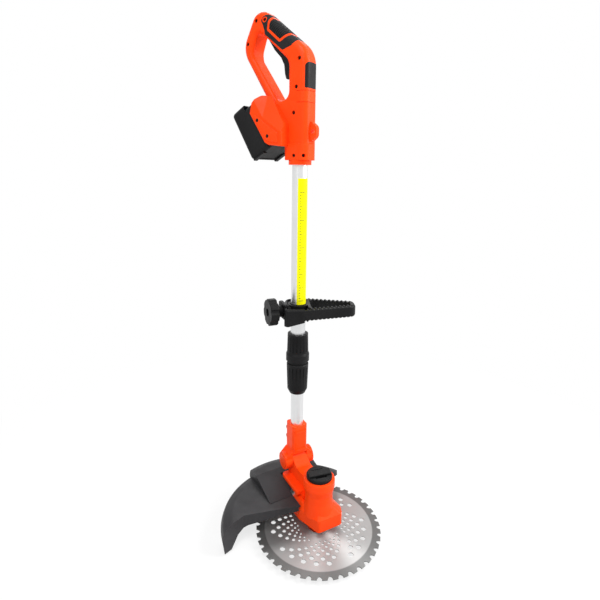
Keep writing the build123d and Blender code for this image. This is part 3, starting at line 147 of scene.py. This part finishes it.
class Look:
    """Short way to lay out one material's nodes."""

    def __init__(self, name):
        self.material = bpy.data.materials.new(name)
        self.material.use_nodes = True
        self.tree = self.material.node_tree
        self.shader = self.tree.nodes["Principled BSDF"]
        self.coords = self.add("ShaderNodeTexCoord").outputs["Object"]

    def add(self, kind, **settings):
        node = self.tree.nodes.new(kind)
        for key, value in settings.items():
            setattr(node, key, value)
        return node

    def link(self, out, socket):
        self.tree.links.new(out, socket)

    def set(self, socket, value):
        self.shader.inputs[socket].default_value = value

    def mapped(self, scale, turn=(0, 0, 0)):
        node = self.add("ShaderNodeMapping")
        node.inputs["Scale"].default_value = scale
        node.inputs["Rotation"].default_value = turn
        self.link(self.coords, node.inputs["Vector"])
        return node.outputs["Vector"]

    def noise(self, scale, detail=3.0, roughness=0.5, vector=None):
        node = self.add("ShaderNodeTexNoise")
        node.inputs["Scale"].default_value = scale
        node.inputs["Detail"].default_value = detail
        node.inputs["Roughness"].default_value = roughness
        self.link(vector if vector is not None else self.coords, node.inputs["Vector"])
        return node.outputs["Fac"]

    def spread(self, value, low, high, from_low=0.3, from_high=0.7):
        node = self.add("ShaderNodeMapRange")
        node.inputs["From Min"].default_value = from_low
        node.inputs["From Max"].default_value = from_high
        node.inputs["To Min"].default_value = low
        node.inputs["To Max"].default_value = high
        self.link(value, node.inputs["Value"])
        return node.outputs["Result"]

    def math(self, operation, first, second):
        node = self.add("ShaderNodeMath", operation=operation)
        for value, socket in zip((first, second), node.inputs):
            if isinstance(value, (int, float)):
                socket.default_value = value
            else:
                self.link(value, socket)
        return node.outputs["Value"]

    def blend(self, factor, first, second):
        node = self.add("ShaderNodeMix", data_type="RGBA")
        for value, socket in zip((first, second), (node.inputs[MIX_FIRST], node.inputs[MIX_SECOND])):
            if isinstance(value, tuple):
                socket.default_value = (*value, 1)
            else:
                self.link(value, socket)
        self.link(factor, node.inputs["Factor"])
        return node.outputs[MIX_RESULT]

    def colour(self, out):
        self.link(out, self.shader.inputs["Base Color"])

    def rough(self, out):
        self.link(out, self.shader.inputs["Roughness"])

    def bump(self, height, strength, distance):
        node = self.add("ShaderNodeBump")
        node.inputs["Strength"].default_value = strength
        node.inputs["Distance"].default_value = distance
        self.link(height, node.inputs["Height"])
        self.link(node.outputs["Normal"], self.shader.inputs["Normal"])

    def wear(self, base, worn, amount):
        """Lighter edges where a part is handled, broken up by noise."""
        edge = self.add("ShaderNodeNewGeometry").outputs["Pointiness"]
        sharp = self.spread(edge, low=0, high=amount, from_low=EDGE_START, from_high=EDGE_FULL)
        patches = self.spread(self.noise(scale=260, detail=4), low=0.2, high=1)
        return self.blend(self.math("MULTIPLY", sharp, patches), base, worn)


def shade(colour, factor):
    return tuple(channel * factor for channel in colour)


def plastic(name, colour, rough, grain=1400, depth=0.06, variation=0.10, specular=0.2, worn=0.4):
    """Moulded plastic: a slight mottle, fine moulded grain, soft scuffs and paler worn edges."""
    look = Look(name)
    mottle = look.spread(look.noise(scale=22, detail=4), low=0, high=1)
    base = look.blend(mottle, shade(colour, 1 - variation), shade(colour, 1 + variation * 0.6))
    rubbed = tuple(min(1.0, channel * RUBBED_GAIN + RUBBED_LIFT) for channel in colour)
    look.colour(look.wear(base, rubbed, worn))
    smear = look.spread(
        look.noise(scale=60, detail=5, roughness=0.6), low=rough - 0.06, high=rough + 0.07)
    streaks = look.mapped(scale=(900, 60, 240), turn=(0.4, 0.2, 0.6))
    scuff = look.spread(
        look.noise(scale=1, detail=3, roughness=0.7, vector=streaks),
        low=0, high=0.05, from_low=0.55, from_high=0.8)
    look.rough(look.math("ADD", smear, scuff))
    look.bump(look.noise(scale=grain, detail=2), depth, GRAIN_DEEP)
    look.set("Specular IOR Level", specular)
    return look.material


def rubbery(name, colour, rough, cell, depth):
    """Soft over-moulding with a fine leathery cell pattern."""
    look = Look(name)
    cells = look.add("ShaderNodeTexVoronoi", feature="DISTANCE_TO_EDGE")
    cells.inputs["Scale"].default_value = cell
    look.link(look.coords, cells.inputs["Vector"])
    net = look.spread(cells.outputs["Distance"], low=0, high=1, from_low=0, from_high=0.16)
    tone = look.blend(net, shade(colour, 0.75), shade(colour, 1.1))
    look.colour(look.wear(tone, shade(colour, 2.0), amount=0.35))
    look.rough(look.spread(look.noise(scale=80, detail=4), low=rough - 0.07, high=rough + 0.08))
    look.bump(net, depth, CELL_DEEP)
    look.set("Specular IOR Level", 0.15)
    return look.material


def brushed(name, colour, rough, stretch, depth=0.05, variation=0.12):
    """Metal with fine grain, drawn out into lines along the axis that has the smallest scale."""
    look = Look(name)
    lines = look.noise(scale=1, detail=4, roughness=0.6, vector=look.mapped(stretch))
    tone = look.spread(lines, low=0, high=1)
    base = look.blend(tone, shade(colour, 1 - variation), shade(colour, 1 + variation * 0.3))
    cloud = look.spread(look.noise(scale=30), low=0, high=0.35)
    look.colour(look.blend(cloud, base, shade(colour, 0.86)))
    look.rough(look.spread(lines, low=rough - 0.07, high=rough + 0.10))
    look.bump(lines, depth, LINE_DEEP)
    look.set("Metallic", 1.0)
    return look.material


def disc_steel(name):
    """Ground disc steel: rings of fine lines, and a duller band outside."""
    look = Look(name)
    place = look.add("ShaderNodeSeparateXYZ")
    look.link(look.coords, place.inputs["Vector"])
    across = look.math("MULTIPLY", place.outputs["X"], place.outputs["X"])
    along = look.math("MULTIPLY", place.outputs["Y"], place.outputs["Y"])
    radius = look.math("SQRT", look.math("ADD", across, along), 0.0)
    outward = look.add("ShaderNodeCombineXYZ")
    look.link(look.math("MULTIPLY", radius, RING_SCALE), outward.inputs["X"])
    lines = look.noise(scale=1, detail=3, roughness=0.6, vector=outward.outputs["Vector"])
    tone = look.spread(lines, low=0, high=1)
    ground = look.blend(tone, (0.43, 0.425, 0.42), (0.49, 0.485, 0.48))
    stain = look.spread(look.noise(scale=45, detail=4), low=0, high=0.25)
    stained = look.blend(stain, ground, (0.38, 0.37, 0.365))
    band = look.blend(tone, (0.20, 0.20, 0.196), (0.25, 0.25, 0.246))
    outer = look.spread(radius, low=0, high=1, from_low=GROUND_R, from_high=BAND_R)
    look.colour(look.blend(outer, stained, band))
    duller = look.math("MULTIPLY", outer, 0.12)
    look.rough(look.math("ADD", look.spread(lines, low=0.52, high=0.60), duller))
    look.bump(lines, 0.03, RING_DEEP)
    look.set("Metallic", 0.8)
    look.set("Anisotropic", 0.9)
    look.set("Anisotropic Rotation", 0.25)
    around = look.add("ShaderNodeTangent", direction_type="RADIAL", axis="Z")
    look.link(around.outputs["Tangent"], look.shader.inputs["Tangent"])
    return look.material


# Moulded plastics
orange = plastic(
    "orange_plastic", (0.97, 0.059, 0.0040), 0.38, grain=900, depth=0.03, variation=0.05, specular=0.10)
dark = plastic(
    "dark_plastic", (0.0070, 0.0070, 0.0074), 0.45, grain=1300, depth=0.12, variation=0.25, specular=0.13)
panel = plastic(
    "panel_plastic", (0.012, 0.011, 0.012), 0.42, grain=1600, depth=0.05, variation=0.15, specular=0.1)
guard_plastic = plastic(
    "guard_plastic", (0.027, 0.026, 0.028), 0.46, grain=1100, depth=0.10, variation=0.25)
inner = plastic("inner_plastic", (0.10, 0.10, 0.11), 0.5)
board = plastic("board", (0.03, 0.19, 0.08), 0.4)
cell = plastic("cell_sleeve", (0.12, 0.30, 0.5), 0.35)
magnet = plastic("magnet", (0.10, 0.10, 0.11), 0.5)

# Label and its print
label = plastic(
    "label_film", (0.90, 0.86, 0.002), 0.32, grain=600, depth=0.01, variation=0.02, specular=0.1, worn=0.1)
ink = plastic(
    "label_ink", (0.02, 0.02, 0.018), 0.45, grain=900, depth=0.02, variation=0.2, specular=0.1, worn=0.1)

# Soft grips and rubber
soft = rubbery("soft_grip", (0.0115, 0.0115, 0.012), 0.58, cell=1500, depth=0.18)
pad = rubbery("grip_pad_rubber", (0.010, 0.010, 0.0105), 0.64, cell=1100, depth=0.25)
rubber = rubbery("lead_rubber", (0.015, 0.015, 0.015), 0.55, cell=900, depth=0.1)

# Metals
tube = brushed("tube_alloy", (0.78, 0.785, 0.79), 0.34, (500, 500, 5), depth=0.02, variation=0.05)
screw = brushed("dark_steel", (0.16, 0.16, 0.165), 0.38, (300, 300, 300))
sunk_screw = brushed("blackened_steel", (0.045, 0.032, 0.028), 0.45, (300, 300, 300))
motor = brushed("motor_steel", (0.55, 0.56, 0.58), 0.35, (200, 200, 200))
brass = brushed("contact_metal", (0.75, 0.58, 0.28), 0.3, (400, 400, 30))
clamp_metal = brushed("clamp_steel", (0.55, 0.55, 0.55), 0.32, (300, 300, 300))
blade_steel = disc_steel("blade_steel")

NODES_OF = {
    orange: ("handle_shell_left", "handle_shell_right", "head_housing", "gear_base", "socket_left",
             "socket_right", "pivot_button"),
    dark: ("trigger", "battery_case", "battery_lid", "battery_button", "lock_sleeve", "lock_nut",
           "front_grip", "clamp_knob", "vent_cap"),
    panel: ("front_panel",),
    soft: ("grip_border", "grip_liner", "clamp_pad"),
    pad: ("grip_pad",),
    guard_plastic: ("guard",),
    tube: ("upper_tube", "lower_tube"),
    label: ("scale_label",),
    inner: ("lock_collet", "guide_bush", "terminal_block", "micro_switch", "lead_grommet"),
    rubber: ("coiled_lead",),
    board: ("control_board",),
    brass: ("contact_tabs",),
    cell: ("battery_cells",),
    sunk_screw: ("handle_screws", "tube_screws", "socket_screws"),
    screw: ("head_screws", "guard_screws", "trigger_pin", "trigger_spring", "hinge_pin", "clamp_screw"),
    motor: ("motor_can", "motor_rotor", "sun_pinion", "ring_gear", "planet_gear_1", "planet_gear_2",
            "planet_gear_3", "output_spindle", "lower_bearing", "upper_bearing"),
    magnet: ("motor_magnets",),
    blade_steel: ("blade",),
    clamp_metal: ("upper_flange", "lower_cup", "blade_nut"),
}


def dress_nodes():
    """Give each CAD node its material."""
    for material, names in NODES_OF.items():
        for name in names:
            mesh = nodes[name].data
            mesh.materials.clear()
            mesh.materials.append(material)


def tick(width):
    """Flat strip, cut finely across so that it bends."""
    shape = bmesh.new()
    steps = max(2, int(width / BEND_STEP))
    half = TICK_TALL / 2
    corners = ((-half, 0), (half, 0), (half, PRINT_THICK), (-half, PRINT_THICK))
    columns = []
    for i in range(steps + 1):
        x = width * i / steps
        columns.append([shape.verts.new((x, y, z)) for y, z in corners])
    for column, following in zip(columns, columns[1:]):
        for k in range(len(corners)):
            after = (k + 1) % len(corners)
            shape.faces.new((column[k], following[k], following[after], column[after]))
    shape.faces.new(columns[0])
    shape.faces.new(reversed(columns[-1]))
    bmesh.ops.recalc_face_normals(shape, faces=shape.faces)
    return shape


def number(text):
    """Plain numerals as a thin solid, centred."""
    curve = bpy.data.curves.new("numeral", "FONT")
    curve.body = text
    curve.size = NUMBER_SIZE
    curve.extrude = PRINT_THICK / 2
    curve.resolution_u = NUMBER_CURVE_STEPS
    curve.align_x = "CENTER"
    curve.align_y = "CENTER"
    holder = bpy.data.objects.new("numeral", curve)
    scene.collection.objects.link(holder)
    bpy.context.view_layer.update()
    solid = bpy.data.meshes.new_from_object(holder.evaluated_get(bpy.context.evaluated_depsgraph_get()))
    bpy.data.objects.remove(holder)
    shape = bmesh.new()
    shape.from_mesh(solid)
    bmesh.ops.remove_doubles(shape, verts=shape.verts, dist=PRINT_MERGE)
    for vert in shape.verts:
        vert.co.z += PRINT_THICK / 2
    return shape


def wrap(shape, turn, height):
    """Bend flat print, drawn as X around and Y up, onto the shaft."""
    for vert in shape.verts:
        radius = LABEL_R + PRINT_CLEAR + vert.co.z
        angle = turn + vert.co.x / LABEL_R
        vert.co = Vector((
            SHAFT.x + radius * math.cos(angle), SHAFT.y + radius * math.sin(angle), height + vert.co.y))


def stamp(whole, shape, turn, height):
    """Wrap one tick or number and add it to the whole print."""
    wrap(shape, turn, height)
    flat = bpy.data.meshes.new("print")
    shape.to_mesh(flat)
    shape.free()
    whole.from_mesh(flat)


def tick_width(i):
    if i % TICKS_PER_LONG == 0:
        return TICK_LONG
    if i % TICKS_PER_NUMBER == 0:
        return TICK_MIDDLE
    return TICK_SHORT


def printed_scale():
    """All ticks and numbers as one piece."""
    whole = bmesh.new()
    for i in range(SCALE_TICKS):
        height = SCALE_LOW + i * SCALE_STEP
        stamp(whole, tick(tick_width(i)), TICK_START, height)
        if i % TICKS_PER_NUMBER == 0:
            stamp(whole, number(str(i)), NUMBER_TURN, height)
    mesh = bpy.data.meshes.new("label_scale")
    whole.to_mesh(mesh)
    whole.free()
    mesh.materials.append(ink)
    piece = bpy.data.objects.new("label_scale", mesh)
    scene.collection.objects.link(piece)
    return piece


def floor_look():
    """Pale floor that keeps soft shadows near the object and fades to white away from it."""
    look = Look("floor")
    look.set("Base Color", (0.92, 0.92, 0.92, 1))
    look.set("Roughness", 0.8)
    away = look.add("ShaderNodeVectorMath", operation="LENGTH")
    look.link(look.coords, away.inputs[0])
    fade = look.spread(
        away.outputs["Value"], low=FLOOR_WHITE, high=1, from_low=FADE_FROM, from_high=FADE_TO)
    path = look.add("ShaderNodeLightPath")
    seen = look.math("MAXIMUM", path.outputs["Is Camera Ray"], path.outputs["Is Glossy Ray"])
    glow = look.add("ShaderNodeEmission")
    mix = look.add("ShaderNodeMixShader")
    look.link(look.math("MULTIPLY", seen, fade), mix.inputs["Fac"])
    look.link(look.shader.outputs["BSDF"], mix.inputs[1])
    look.link(glow.outputs["Emission"], mix.inputs[2])
    look.link(mix.outputs["Shader"], look.tree.nodes["Material Output"].inputs["Surface"])
    return look.material


def floor_plane():
    corners = ((-1, -1), (1, -1), (1, 1), (-1, 1))
    mesh = bpy.data.meshes.new("floor")
    mesh.from_pydata([(x * FLOOR_HALF, y * FLOOR_HALF, FLOOR_TOP) for x, y in corners], [], [(0, 1, 2, 3)])
    mesh.materials.append(floor_look())
    plane = bpy.data.objects.new("floor", mesh)
    scene.collection.objects.link(plane)
    return plane


def white_world():
    """White where it is seen, straight or mirrored, and weaker as a light."""
    world = bpy.data.worlds.new("studio")
    scene.world = world
    world.use_nodes = True
    tree = world.node_tree
    background = tree.nodes["Background"]
    background.inputs["Color"].default_value = (1, 1, 1, 1)
    path = tree.nodes.new("ShaderNodeLightPath")
    seen = path.outputs["Is Camera Ray"]
    for ray in ("Is Glossy Ray", "Is Transmission Ray"):
        either = tree.nodes.new("ShaderNodeMath")
        either.operation = "MAXIMUM"
        tree.links.new(seen, either.inputs[0])
        tree.links.new(path.outputs[ray], either.inputs[1])
        seen = either.outputs["Value"]
    level = tree.nodes.new("ShaderNodeMapRange")
    level.inputs["To Min"].default_value = WORLD_LIGHT
    level.inputs["To Max"].default_value = WORLD_SEEN
    tree.links.new(seen, level.inputs["Value"])
    tree.links.new(level.outputs["Result"], background.inputs["Strength"])


def softbox(name, place, aim, size, power):
    """Soft rectangular lamp, turned to its aim."""
    light = bpy.data.lights.new(name, "AREA")
    light.shape = "RECTANGLE"
    light.size, light.size_y = size
    light.energy = power
    lamp = bpy.data.objects.new(name, light)
    lamp.location = place
    lamp.rotation_euler = (Vector(aim) - Vector(place)).to_track_quat("-Z", "Y").to_euler()
    scene.collection.objects.link(lamp)


place_camera()
dress_nodes()
label_scale = printed_scale()
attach(label_scale, "handle")
floor = floor_plane()
white_world()
for lamp in LAMPS:
    softbox(*lamp)
